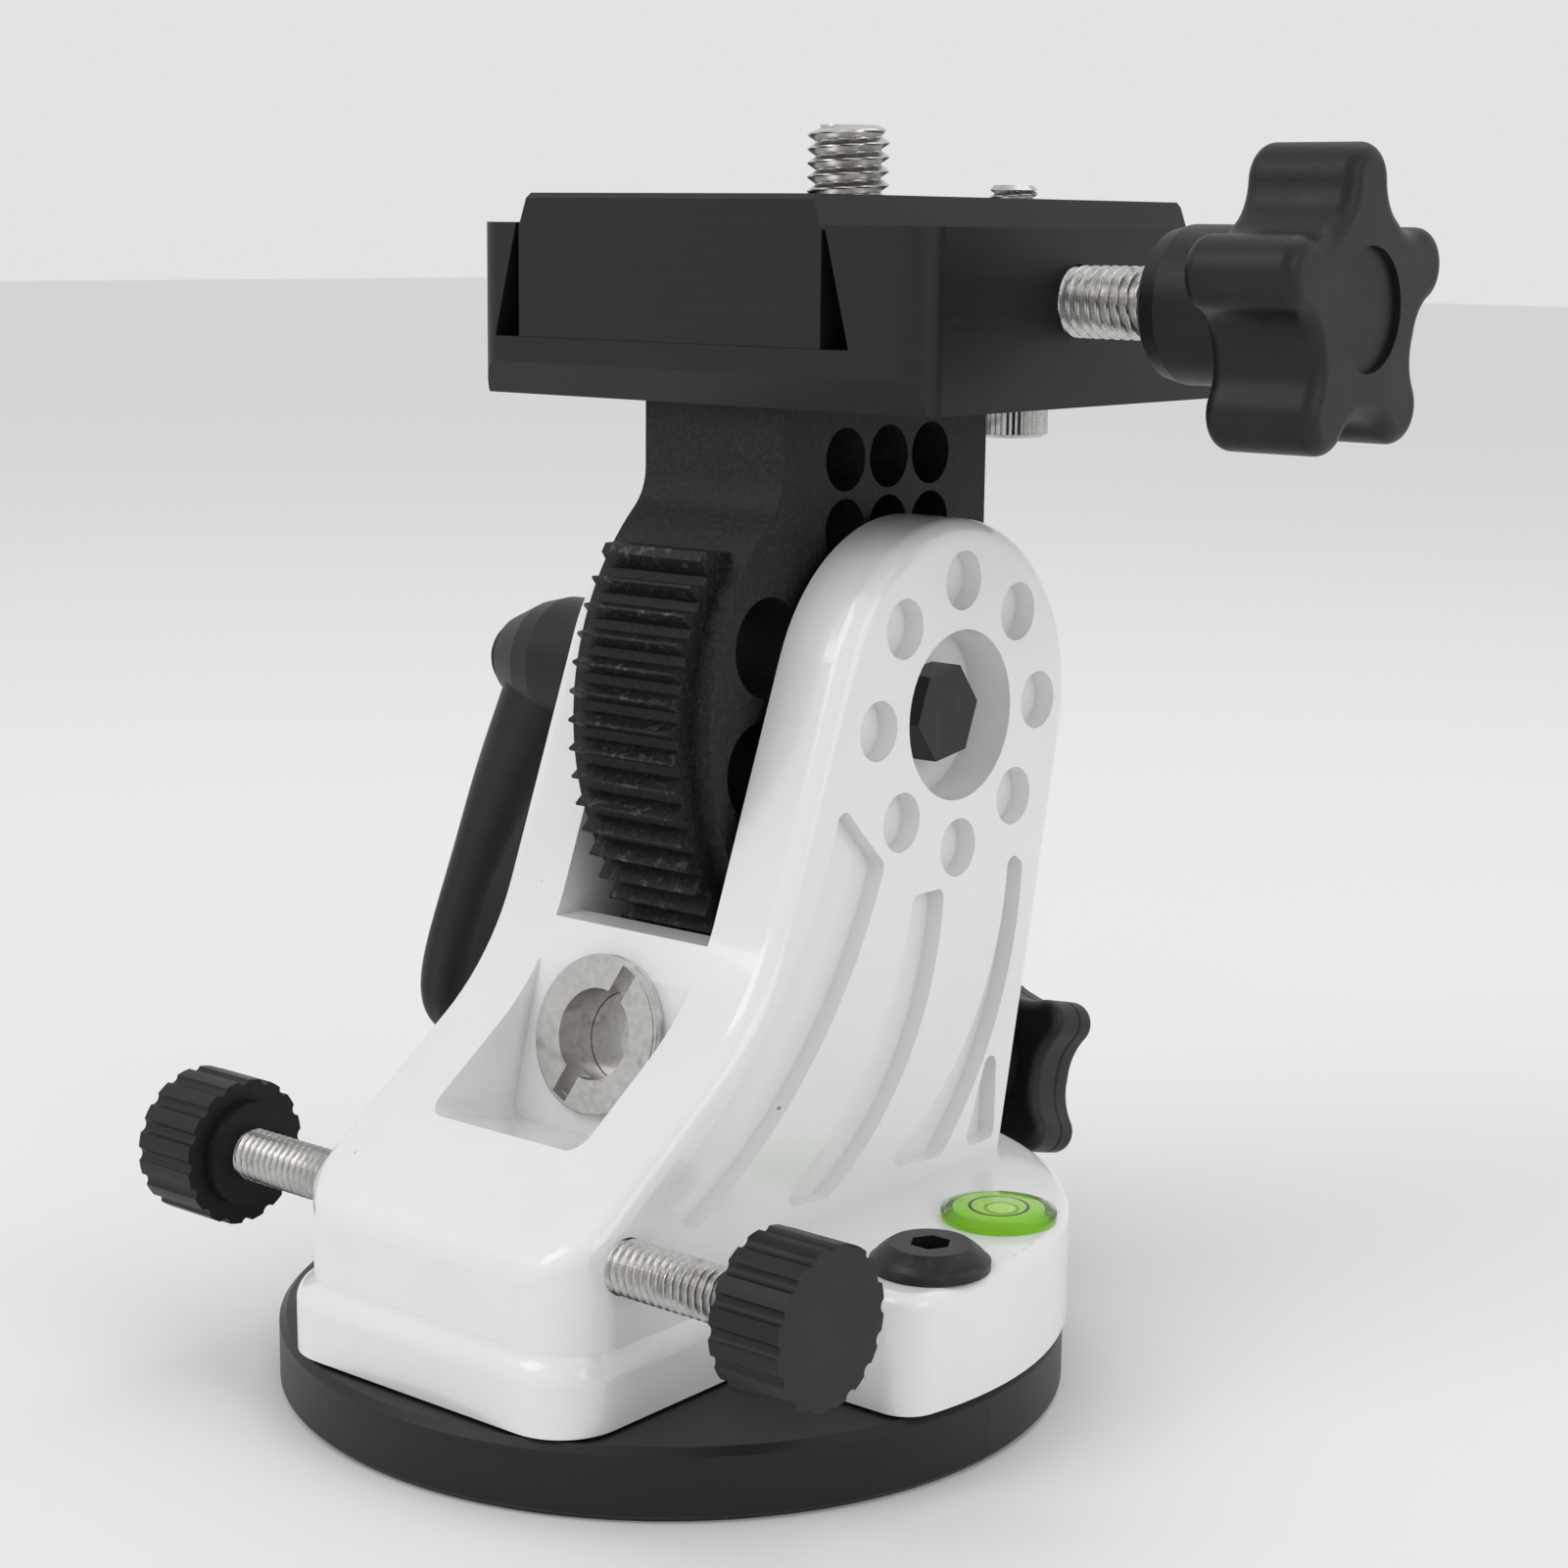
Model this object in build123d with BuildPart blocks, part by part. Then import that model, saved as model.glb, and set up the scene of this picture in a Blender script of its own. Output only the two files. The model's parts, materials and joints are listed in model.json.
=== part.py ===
# Alt azimuth mount: a base disc, a cast fork that swings on it, an altitude
# arm with a worm sector, and a dovetail saddle with its clamp.
#
# Frame: origin at the centre of the base disc's underside, +Z up, X along the
# altitude axis, -Y to the front, where the worm's slotted bush shows.

import os
from math import cos, degrees, radians, sin, sqrt, tan

from build123d import *

os.makedirs("parts", exist_ok=True)

# ---- driving dimensions (mm, degrees) ----

# base disc and its insert
disc_dia = 90.0
disc_thickness = 8.0
disc_chamfer = 0.8
insert_dia = 16.0
insert_height = 12.0
tripod_thread_r = 4.0          # tapped wall of a 3/8-16 thread
tripod_thread_depth = 10.0

# azimuth post and thumb screws
screw_y = -31.5                # azimuth screws, in front of the axis
screw_z = 24.8
post_dia = 6.5
post_spigot_dia = 5.0
post_height = 19.0             # above the disc
post_x = 0.85                  # at rest, where both screws touch it
azimuth_swing = 4.0            # degrees each way
thumb_thread_dia = 6.0
thumb_knob_dia = 16.8
thumb_knob_length = 8.6
thumb_boss_dia = 12.0
thumb_boss_length = 1.4
thumb_stud_length = 33.6       # from the tip to the knob's boss
thumb_ribs = 16
thumb_rib_r = 0.85
thumb_stud_bite = 8.0          # length held in the knob
thumb_gap = 0.15               # screw tip to post

# fork
seat_gap = 0.3                 # fork underside above the disc
lobe_radius = 45.4
lobe_top = 21.3
lobe_front = -13.0
block_front = -40.0
block_corner = 7.0
corner_ease = 0.06             # the corner rounds start this far ahead of the front face
shoulder_round = 5.0
waist_round = 30.0
upper_lean = 69.0              # front of the arms, degrees from flat
lower_lean = 34.6
brow_y = -24.0                 # a point on the lower front slope
brow_z = 36.9
rear_lean = 10.0
flange_half = 22.2
flange_front = -41.6
flange_height = 8.5
flange_round = 3.0
lobe_corner = 4.0
lobe_round = 1.5
arm_edge = 2.5
arm_half = 21.0                # outer faces of the arms
slot_half = 11.3               # inner faces of the arms
arm_radius = 22.3
pivot_y = 25.3
pivot_z = 75.2
slot_front_z = 52.5            # bridge in front of the slot
arm_rear_foot_y = 36.6
arm_hole_dia = 6.8
arm_hole_depth = 2.6
arm_hole_ring = 15.4
arm_hole_count = 8
bolt_pocket_dia = 19.6
bolt_pocket_depth = 5.8
pocket_depth = 2.2
pocket_round = 1.2
window_half = 11.2
window_drop = 11.3
window_round = 2.0
bush_stand = 1.6               # the bush's face ahead of the window's floor
slot_clearance = 1.6
worm_room = 9.9
rear_boss_dia = 28.0
post_room_gap = 0.5
post_room_round = 2.0
post_room_top = 0.4

# altitude bolt and lever
bolt_dia = 6.0
bolt_head_flats = 10.0
bolt_head_height = 4.0
bolt_head_turn = 8.0
sleeve_dia = 12.0
sleeve_fit = 0.05
washer_dia = 18.0
bolt_tip_x = -38.0
lever_washer_thickness = 1.2
lever_insert_dia = 10.0
lever_insert_length = 18.0
lever_hub_dia = 16.6
lever_hub_length = 24.0
lever_hub_crown = 8.5          # length of its rounded outer end
lever_hub_end_dia = 10.4
lever_cap_dia = 8.0
lever_cap_height = 3.7
# the handle's sections: drop below the pivot, forward reach, outer face, thickness, width
lever_sections = (
    (-2.0, 0.0, -46.8, 13.4, 12.0),
    (4.0, 0.5, -47.9, 12.2, 13.0),
    (13.0, 1.5, -51.0, 11.0, 12.5),
    (29.0, 4.5, -54.6, 7.2, 10.5),
    (46.5, 6.6, -56.8, 5.2, 8.0),
    (48.6, 6.8, -55.9, 2.8, 4.5),
)

# worm and sector
teeth = 68
tooth_module = 1.0
centre_distance = 42.0
worm_tilt = 14.5
tooth_width = 14.4
tooth_top_angle = 32.6         # first crest above the front horizontal
tooth_bottom_angle = -98.0
arm_thickness = 20.2
crest_width = 0.3
tooth_base = 2.0
worm_gap = 0.3
bush_outer_dia = 17.0
bush_bore_dia = 10.2
bush_front_y = -13.6
bush_front_z = 41.6
bush_length = 14.4
bush_slot_turn = 25.0
shaft_set_back = 5.5           # shaft's end behind the bush's face
bush_slot_width = 2.2
bush_slot_depth = 2.0
worm_half_length = 14.0
rear_face_along = 26.0
knob_along = 45.0              # knob's front face, from under the pivot
knob_seam = 50.0
shaft_end_along = 51.0
shaft_dia = 10.06
rear_bush_dia = 22.4
rear_bush_start = 17.9         # along the worm, clear of the sector's sweep
rear_bush_flange_dia = 26.0
rear_bush_flange = 2.5
knob_dia = 29.6
knob_thickness = 8.7
knob_lobes = 5
knob_lobe = 2.8
knob_core = 10.4
knob_blend = 8.0
knob_first_lobe = 180.0
knob_edge = 1.4
knob_seam_round = 0.4
knob_hub_dia = 15.0

# altitude arm
neck_half_depth = 19.1
flare_round = 6.0
rim_radius = 31.2
neck_hole_dia = 7.2
neck_hole_pitch = 8.0
neck_hole_top_z = 104.0
sector_hole_dia = 11.2
sector_hole_ring = 23.2
sector_hole_step = 34.5
first_sector_hole = 22.4
sector_hole_count = 4

# saddle and dovetail plate
saddle_half = 32.3
saddle_front = 1.3
saddle_length = 73.4
saddle_bottom = 110.3
saddle_top = 129.8
saddle_corner = 3.5
saddle_slope_y = 2.0
saddle_slope_z = 3.7
saddle_screw_dia = 4.0
saddle_screw_x = 11.0
saddle_screw_y = 29.0
saddle_screw_bite = 9.0
saddle_head_dia = 7.0
saddle_head_height = 3.9
groove_floor = 116.9
groove_centre = -3.2
groove_top_half = 22.4
groove_bottom_half = 25.8
plate_half = 22.0
plate_top_half = 20.6
plate_top = 133.1
plate_shoulder = 129.3
plate_length = 73.0
stud_dia = 9.525
stud_shank_dia = 10.0          # plain, held in the plate
stud_relief_dia = 8.6
stud_relief = 0.5              # above the plate, under the thread
stud_y = 29.9
stud_top = 141.2
stud_head_dia = 15.0
stud_head_height = 6.0
rear_screw_y = 63.5
rear_screw_dia = 6.0
rear_screw_tip = 135.0
rear_head_dia = 10.0
rear_head_height = 6.0
plate_travel = 8.0

# saddle clamp
clamp_y = 29.9
clamp_z = 121.9
clamp_dia = 8.0
clamp_hub_start = 43.9
clamp_hub_dia = 17.0
clamp_hub_length = 11.0
clamp_star_length = 13.1
star_dia = 33.8
star_lobes = 5
star_lobe = 4.0
star_core = 11.2
star_blend = 5.0
star_first_lobe = 92.0
star_cap_dia = 13.0
star_recess = 2.4
star_edge = 1.8
clamp_pad_thickness = 1.6

# azimuth lock screws and bubble level
lock_ring = 39.0
lock_angles = (-4.6, 176.6)
lock_thread_dia = 6.0
lock_flange_dia = 13.0
lock_head_dia = 10.0
lock_head_height = 2.7
lock_socket_r = 2.0
lock_bite = 6.0                # thread in the disc
lock_slot_gap = 0.3
level_x = 35.2
level_y = 14.8
level_dia = 12.2
level_flange_dia = 13.0
level_flange = 1.0
level_stand = 1.7              # above the lobe
level_sink = 3.0

# ---- values worked out from them ----

fork_bottom = disc_thickness + seat_gap
wheel_pitch_r = tooth_module * teeth / 2
tip_radius = wheel_pitch_r + 1.1 * tooth_module
root_radius = wheel_pitch_r - 0.95 * tooth_module
tilt = radians(worm_tilt)
worm_dir = (0, cos(tilt), -sin(tilt))
neck_top = saddle_bottom
pivot = (pivot_y, pivot_z)
fork_axis = Plane(origin=(0, pivot_y, pivot_z), x_dir=(0, 1, 0), z_dir=(1, 0, 0))
side_plane = Plane.YZ
plate_bottom = groove_floor + 0.05

# the worm's axis passes under the pivot at the centre distance
worm_mid_y = pivot_y - centre_distance * sin(tilt)
worm_mid_z = pivot_z - centre_distance * cos(tilt)


def worm_point(along):
    """A point on the worm's axis, measured from under the pivot to the rear."""
    return (0, worm_mid_y + along * cos(tilt), worm_mid_z - along * sin(tilt))


def worm_plane(along):
    """A plane across the worm's axis, facing the rear."""
    return Plane(origin=worm_point(along), x_dir=(1, 0, 0), z_dir=worm_dir)


bush_front_along = (bush_front_y - worm_mid_y) * cos(tilt) - (bush_front_z - worm_mid_z) * sin(tilt)

post_travel = -screw_y * radians(azimuth_swing)
post_room_width = post_dia + 2 * post_travel + 2 * post_room_gap
lock_places = [(lock_ring * cos(radians(turn)), lock_ring * sin(radians(turn))) for turn in lock_angles]


def lobed_outline(core_radius, lobe_ring, lobe_radius, lobes, first_lobe, blend):
    """A knob's outline: round lobes about a core, run together by hollow fillets."""
    with BuildSketch(mode=Mode.PRIVATE) as outline:
        Circle(core_radius)
        with PolarLocations(lobe_ring, lobes, start_angle=first_lobe):
            Circle(lobe_radius)
        fillet(outline.vertices(), blend)
    return outline.sketch


def turned(base, outline):
    """A turned piece: (radius, height) points swung round a plane's normal."""
    with BuildPart(mode=Mode.PRIVATE) as piece:
        with BuildSketch(Plane(origin=base.origin, x_dir=base.x_dir, z_dir=-base.y_dir)):
            with BuildLine():
                Polyline(*outline, close=True)
            make_face()
        revolve(axis=Axis(base.origin, base.z_dir))
    return piece.part


def finish(made, name):
    """Label one piece and write its file."""
    made.part.label = name
    export_step(made.part, f"parts/{name}.step")
    print(name, round(made.part.volume, 1))


# ---- base ----

with BuildPart() as base_disc:
    with BuildSketch():
        Circle(disc_dia / 2)
        Circle(insert_dia / 2 + 0.02, mode=Mode.SUBTRACT)
        with Locations((post_x, screw_y)):
            Circle(post_spigot_dia / 2 + 0.02, mode=Mode.SUBTRACT)
        with Locations(*lock_places):
            Circle(lock_thread_dia / 2 + 0.05, mode=Mode.SUBTRACT)
    extrude(amount=disc_thickness)
    rims = base_disc.edges().filter_by(GeomType.CIRCLE).filter_by(
        lambda edge: edge.radius > disc_dia / 2 - 0.1
    )
    chamfer(rims, disc_chamfer)
finish(base_disc, "base_disc")

with BuildPart() as tripod_insert:
    with BuildSketch():
        Circle(insert_dia / 2)
    extrude(amount=insert_height)
    with BuildSketch():
        Circle(tripod_thread_r)
    extrude(amount=tripod_thread_depth, mode=Mode.SUBTRACT)
    chamfer(tripod_insert.edges().group_by(Axis.Z)[-1], 0.5)
finish(tripod_insert, "tripod_insert")

with BuildPart() as azimuth_post:
    with BuildSketch(Plane.XY.offset(disc_thickness)):
        with Locations((post_x, screw_y)):
            Circle(post_dia / 2)
    extrude(amount=post_height)
    chamfer(azimuth_post.edges().group_by(Axis.Z)[-1], 0.6)
    with BuildSketch(Plane.XY.offset(1.0)):
        with Locations((post_x, screw_y)):
            Circle(post_spigot_dia / 2)
    extrude(amount=disc_thickness - 1.0)
finish(azimuth_post, "azimuth_post")

for side, (x, y) in zip(("right", "left"), lock_places):
    screw_axis = Plane(origin=(x, y, lobe_top), x_dir=(1, 0, 0), z_dir=(0, 0, 1))
    with BuildPart() as lock_screw:
        add(
            turned(
                screw_axis,
                (
                    (0, disc_thickness - lock_bite - lobe_top),
                    (lock_thread_dia / 2, disc_thickness - lock_bite - lobe_top),
                    (lock_thread_dia / 2, 0.05),
                    (lock_flange_dia / 2, 0.05),
                    (lock_flange_dia / 2, 0.9),
                    (lock_flange_dia / 2 - 0.3, 1.1),
                    (lock_head_dia / 2 + 0.7, 1.7),
                    (lock_head_dia / 2, lock_head_height - 0.4),
                    (lock_head_dia / 2 - 0.6, lock_head_height),
                    (0, lock_head_height),
                ),
            )
        )
        with BuildSketch(screw_axis.offset(lock_head_height)):
            RegularPolygon(lock_socket_r, 6, major_radius=False)
        extrude(amount=0.2 - lock_head_height, mode=Mode.SUBTRACT)
    finish(lock_screw, f"lock_screw_{side}")

# ---- fork ----

# The front outline leans back in two straight runs with a wide round between
# them, and meets the round top of the arms on a tangent.
upper_slope = tan(radians(upper_lean))
lower_slope = tan(radians(lower_lean))
tangent_y = pivot_y - arm_radius * sin(radians(upper_lean))
tangent_z = pivot_z + arm_radius * cos(radians(upper_lean))
slope_change = lower_slope - upper_slope
corner_y = (tangent_z - brow_z + brow_y * lower_slope - tangent_y * upper_slope) / slope_change
corner_z = brow_z + (corner_y - brow_y) * lower_slope
shoulder_z = brow_z + (block_front - brow_y) * lower_slope
rear_tangent_y = pivot_y + arm_radius * cos(radians(rear_lean))
rear_tangent_z = pivot_z - arm_radius * sin(radians(rear_lean))

# each rib pocket lies between two curves, given from the top down as (y, z)
rib_pockets = (
    (((3.5, 68.0), (-7.0, 47.5), (-26.0, 31.0)), ((11.5, 60.0), (0.0, 41.0), (-21.0, 25.5))),
    (((17.0, 55.5), (9.0, 38.0), (-8.0, 24.6)), ((22.8, 55.5), (17.0, 37.0), (1.8, 23.6))),
    (((35.5, 58.0), (29.0, 38.0), (10.0, 24.3)), ((38.5, 56.0), (34.0, 38.0), (23.2, 23.4))),
)
rear_pocket = ((34.2, 38.5), (27.8, 23.2), (33.9, 23.2))

with BuildPart() as fork_arms:
    with BuildSketch(side_plane):
        with BuildLine():
            front = FilletPolyline(
                (block_front, fork_bottom),
                (block_front, shoulder_z),
                (corner_y, corner_z),
                (tangent_y, tangent_z),
                radius=(shoulder_round, waist_round),
            )
            crown = ThreePointArc(
                (tangent_y, tangent_z), (pivot_y, pivot_z + arm_radius), (rear_tangent_y, rear_tangent_z)
            )
            Polyline(crown @ 1, (arm_rear_foot_y, lobe_top), (arm_rear_foot_y, fork_bottom), front @ 0)
        make_face()
    extrude(amount=arm_half, both=True)
    with BuildSketch(Plane.XY.offset(fork_bottom)):
        with Locations((0, block_front - corner_ease)):
            RectangleRounded(2 * arm_half, 2 * disc_dia, block_corner, align=(Align.CENTER, Align.MIN))
    extrude(amount=2 * disc_dia, mode=Mode.INTERSECT)
    rims = fork_arms.faces().filter_by(Axis.X).edges().filter_by(
        lambda edge: edge.center().Z > fork_bottom + 1
        and edge.center().Y > block_front + block_corner + 0.1
    )
    fillet(rims, arm_edge)

with BuildPart() as fork_foot:
    with BuildSketch(Plane.XY.offset(fork_bottom)):
        with BuildLine():
            FilletPolyline(
                (flange_half, lobe_front + 6),
                (flange_half, flange_front),
                (-flange_half, flange_front),
                (-flange_half, lobe_front + 6),
                radius=block_corner,
                close=True,
            )
        make_face()
    extrude(amount=flange_height)
    fillet(fork_foot.edges().group_by(Axis.Z)[-1], flange_round)

with BuildPart() as fork_lobes:
    with BuildSketch(Plane.XY.offset(fork_bottom)) as lobe_sketch:
        Circle(lobe_radius)
        with Locations((0, lobe_front)):
            Rectangle(2 * disc_dia, disc_dia, align=(Align.CENTER, Align.MAX), mode=Mode.SUBTRACT)
        fillet(lobe_sketch.vertices(), lobe_corner)
    extrude(amount=lobe_top - fork_bottom)
    fillet(fork_lobes.edges().group_by(Axis.Z)[-1], lobe_round)

slot_floor_r = tip_radius + slot_clearance
with BuildPart() as fork:
    add(fork_arms.part)
    add(fork_foot.part)
    add(fork_lobes.part)
    # rear boss for the worm's bearing
    with BuildSketch(worm_plane(0)):
        Circle(rear_boss_dia / 2)
    extrude(amount=rear_face_along)
    # slot between the arms, and the worm's chamber under it
    with BuildSketch(side_plane):
        with Locations(pivot):
            Circle(slot_floor_r)
        with Locations((pivot_y, slot_front_z)):
            Rectangle(2 * disc_dia, disc_dia, align=(Align.CENTER, Align.MIN))
    extrude(amount=slot_half, both=True, mode=Mode.SUBTRACT)
    with BuildSketch(worm_plane(-worm_half_length - 0.3)):
        Rectangle(2 * slot_half, 2 * worm_room)
    extrude(amount=2 * worm_half_length + 0.6, mode=Mode.SUBTRACT)
    # bores for the worm's two bushes
    with BuildSketch(worm_plane(bush_front_along - 4)):
        Circle(bush_outer_dia / 2 + 0.02)
    extrude(amount=4 - bush_front_along - worm_half_length, mode=Mode.SUBTRACT)
    with BuildSketch(worm_plane(0)):
        Circle(rear_bush_dia / 2 + 0.02)
    extrude(amount=rear_face_along + 2, mode=Mode.SUBTRACT)
    with BuildSketch(worm_plane(rear_face_along)):
        Circle(rear_bush_flange_dia / 2 + 0.5)
    extrude(amount=disc_dia / 2, mode=Mode.SUBTRACT)
    # window in front of the slotted bush
    with BuildSketch(worm_plane(bush_front_along + bush_stand)):
        with Locations((0, window_drop)):
            RectangleRounded(2 * window_half, 2 * disc_dia, window_round, align=(Align.CENTER, Align.MAX))
    extrude(amount=-disc_dia, mode=Mode.SUBTRACT)
    # altitude bolt, its pocket, and the ring of blind holes on each arm
    with BuildSketch(fork_axis.offset(-arm_half - 1)):
        Circle(bolt_dia / 2 + 0.05)
    extrude(amount=2 * arm_half + 2, mode=Mode.SUBTRACT)
    with BuildSketch(fork_axis.offset(arm_half - bolt_pocket_depth)):
        Circle(bolt_pocket_dia / 2)
    extrude(amount=bolt_pocket_depth + 1, mode=Mode.SUBTRACT)
    for hole_start, hole_way in ((arm_half, -1), (-arm_half, 1)):
        with BuildSketch(fork_axis.offset(hole_start)):
            with PolarLocations(arm_hole_ring, arm_hole_count, start_angle=90):
                Circle(arm_hole_dia / 2)
        extrude(amount=hole_way * arm_hole_depth, mode=Mode.SUBTRACT)
    # curved pockets between the arm's ribs
    for pocket_start, pocket_way in ((arm_half, -1), (-arm_half, 1)):
        for front_curve, rear_curve in rib_pockets:
            with BuildSketch(side_plane.offset(pocket_start)) as pocket:
                with BuildLine():
                    leading = ThreePointArc(*front_curve)
                    trailing = ThreePointArc(*rear_curve)
                    Line(leading @ 0, trailing @ 0)
                    Line(leading @ 1, trailing @ 1)
                make_face()
                fillet(pocket.vertices(), pocket_round)
            extrude(amount=pocket_way * pocket_depth, mode=Mode.SUBTRACT)
        with BuildSketch(side_plane.offset(pocket_start)) as pocket:
            with BuildLine():
                Polyline(*rear_pocket, close=True)
            make_face()
            fillet(pocket.vertices(), pocket_round)
        extrude(amount=pocket_way * pocket_depth, mode=Mode.SUBTRACT)
    # room for the azimuth post, and the thumb screws' threads
    with BuildSketch(Plane.XY.offset(fork_bottom - 1)):
        with Locations((post_x, screw_y)):
            RectangleRounded(post_room_width, post_dia + 2 * post_room_gap, post_room_round)
    extrude(amount=disc_thickness + post_height + post_room_top - fork_bottom + 1, mode=Mode.SUBTRACT)
    screw_line = Plane(origin=(-flange_half - 2, screw_y, screw_z), x_dir=(0, 1, 0), z_dir=(1, 0, 0))
    with BuildSketch(screw_line):
        Circle(thumb_thread_dia / 2 + 0.05)
    extrude(amount=2 * flange_half + 4, mode=Mode.SUBTRACT)
    # curved slots for the lock screws, the insert's seat and the level's seat
    with BuildSketch(Plane.XY.offset(fork_bottom - 1)):
        for side_angle in lock_angles:
            with BuildLine():
                slot_line = CenterArc((0, 0), lock_ring, side_angle - azimuth_swing, 2 * azimuth_swing)
            SlotArc(slot_line, lock_thread_dia + 2 * lock_slot_gap)
    extrude(amount=lobe_top, mode=Mode.SUBTRACT)
    with BuildSketch(Plane.XY.offset(fork_bottom - 1)):
        Circle(insert_dia / 2 + 0.05)
    extrude(amount=insert_height + 0.3 - fork_bottom + 1, mode=Mode.SUBTRACT)
    with BuildSketch(Plane.XY.offset(lobe_top - level_sink)):
        with Locations((level_x, level_y)):
            Circle(level_dia / 2 + 0.02)
    extrude(amount=level_sink + 1, mode=Mode.SUBTRACT)
finish(fork, "fork")

# ---- worm, its bushes and the altitude knob ----

with BuildPart() as worm_front_bush:
    with BuildSketch(worm_plane(bush_front_along)):
        Circle(bush_outer_dia / 2)
        Circle(bush_bore_dia / 2, mode=Mode.SUBTRACT)
    extrude(amount=bush_length)
    with BuildSketch(worm_plane(bush_front_along)):
        Rectangle(bush_slot_width, bush_outer_dia + 2, rotation=bush_slot_turn)
    extrude(amount=bush_slot_depth, mode=Mode.SUBTRACT)
finish(worm_front_bush, "worm_front_bush")

with BuildPart() as worm_rear_bush:
    with BuildSketch(worm_plane(rear_bush_start)):
        Circle(rear_bush_dia / 2)
        Circle(bush_bore_dia / 2, mode=Mode.SUBTRACT)
    extrude(amount=rear_face_along - rear_bush_start)
    with BuildSketch(worm_plane(rear_face_along)):
        Circle(rear_bush_flange_dia / 2)
        Circle(bush_bore_dia / 2, mode=Mode.SUBTRACT)
    extrude(amount=rear_bush_flange)
finish(worm_rear_bush, "worm_rear_bush")

worm_core_r = centre_distance - tip_radius - worm_gap
shaft_front = bush_front_along + shaft_set_back
with BuildPart() as worm:
    with BuildSketch(worm_plane(shaft_front)):
        Circle(shaft_dia / 2)
    extrude(amount=shaft_end_along - shaft_front)
    with BuildSketch(worm_plane(-worm_half_length)):
        Circle(worm_core_r)
    extrude(amount=2 * worm_half_length)
finish(worm, "worm")

with BuildPart() as altitude_knob:
    for layer_start, layer_end in ((knob_along, knob_seam), (knob_seam, knob_along + knob_thickness)):
        with BuildPart(mode=Mode.PRIVATE) as layer:
            with BuildSketch(worm_plane(layer_start)):
                add(
                    lobed_outline(
                        knob_core,
                        knob_dia / 2 - knob_lobe,
                        knob_lobe,
                        knob_lobes,
                        knob_first_lobe,
                        knob_blend,
                    )
                )
            extrude(amount=layer_end - layer_start)
            for face in layer.faces().filter_by(GeomType.PLANE).sort_by(SortBy.AREA)[-2:]:
                from_seam = face.center() - Vector(*worm_point(knob_seam))
                at_seam = abs(from_seam.dot(Vector(*worm_dir))) < 0.1
                fillet(face.edges(), knob_seam_round if at_seam else knob_edge)
        add(layer.part)
    with BuildSketch(worm_plane(rear_face_along + rear_bush_flange + 0.4)):
        Circle(knob_hub_dia / 2)
    extrude(amount=knob_along + 1 - rear_face_along - rear_bush_flange - 0.4)
    with BuildSketch(worm_plane(0)):
        Circle(shaft_dia / 2 + 0.01)
    extrude(amount=shaft_end_along + 0.05, mode=Mode.SUBTRACT)
finish(altitude_knob, "altitude_knob")

# ---- altitude bolt, its washers and the lock lever ----

head_floor = arm_half - bolt_pocket_depth
with BuildPart() as altitude_bolt:
    with BuildSketch(fork_axis.offset(bolt_tip_x)):
        Circle(bolt_dia / 2)
    extrude(amount=head_floor - bolt_tip_x)
    with BuildSketch(fork_axis.offset(head_floor)):
        RegularPolygon(bolt_head_flats / 2, 6, major_radius=False, rotation=bolt_head_turn)
    extrude(amount=bolt_head_height)
finish(altitude_bolt, "altitude_bolt")

with BuildPart() as thrust_washers:
    for washer_start in (arm_thickness / 2 + 0.1, -slot_half + 0.1):
        with BuildSketch(fork_axis.offset(washer_start)):
            Circle(washer_dia / 2)
            Circle(sleeve_dia / 2 + 0.1, mode=Mode.SUBTRACT)
        extrude(amount=slot_half - arm_thickness / 2 - 0.2)
finish(thrust_washers, "thrust_washers")

with BuildPart() as pivot_sleeve:
    with BuildSketch(fork_axis.offset(-slot_half + 0.1)):
        Circle(sleeve_dia / 2)
        Circle(bolt_dia / 2 + sleeve_fit, mode=Mode.SUBTRACT)
    extrude(amount=2 * slot_half - 0.2)
finish(pivot_sleeve, "pivot_sleeve")

with BuildPart() as lever_washer:
    with BuildSketch(fork_axis.offset(-arm_half - lever_washer_thickness)):
        Circle(lever_hub_dia / 2 + 0.6)
        Circle(bolt_dia / 2 + 0.2, mode=Mode.SUBTRACT)
    extrude(amount=lever_washer_thickness)
finish(lever_washer, "lever_washer")

insert_start = -arm_half - lever_washer_thickness - 0.1
with BuildPart() as lever_insert:
    with BuildSketch(fork_axis.offset(insert_start)):
        Circle(lever_insert_dia / 2)
    extrude(amount=-lever_insert_length)
    with BuildSketch(fork_axis.offset(insert_start)):
        Circle(bolt_dia / 2 + 0.05)
    extrude(amount=bolt_tip_x - insert_start - 0.5, mode=Mode.SUBTRACT)
finish(lever_insert, "lever_insert")

lever_hub_plane = Plane(origin=(insert_start - 1.9, pivot_y, pivot_z), x_dir=(0, 1, 0), z_dir=(-1, 0, 0))
with BuildPart() as lever_handle:
    for drop, forward, outer_x, thickness, width in lever_sections:
        with BuildSketch(Plane.XY.offset(pivot_z - drop)):
            with Locations((outer_x + thickness / 2, pivot_y - forward)):
                RectangleRounded(thickness, width, thickness * 0.38)
    loft()
    add(
        turned(
            lever_hub_plane,
            (
                (0, 0),
                (lever_hub_dia / 2 - 0.5, 0),
                (lever_hub_dia / 2, 0.5),
                (lever_hub_dia / 2, lever_hub_length - lever_hub_crown),
                (lever_hub_dia / 2 - 0.8, lever_hub_length - lever_hub_crown * 0.6),
                (lever_hub_end_dia / 2, lever_hub_length),
                (0, lever_hub_length),
            ),
        )
    )
    with BuildSketch(fork_axis.offset(insert_start + 1)):
        Circle(lever_insert_dia / 2 + 0.01)
    extrude(amount=-lever_insert_length - 1.01, mode=Mode.SUBTRACT)
finish(lever_handle, "lever_handle")

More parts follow.
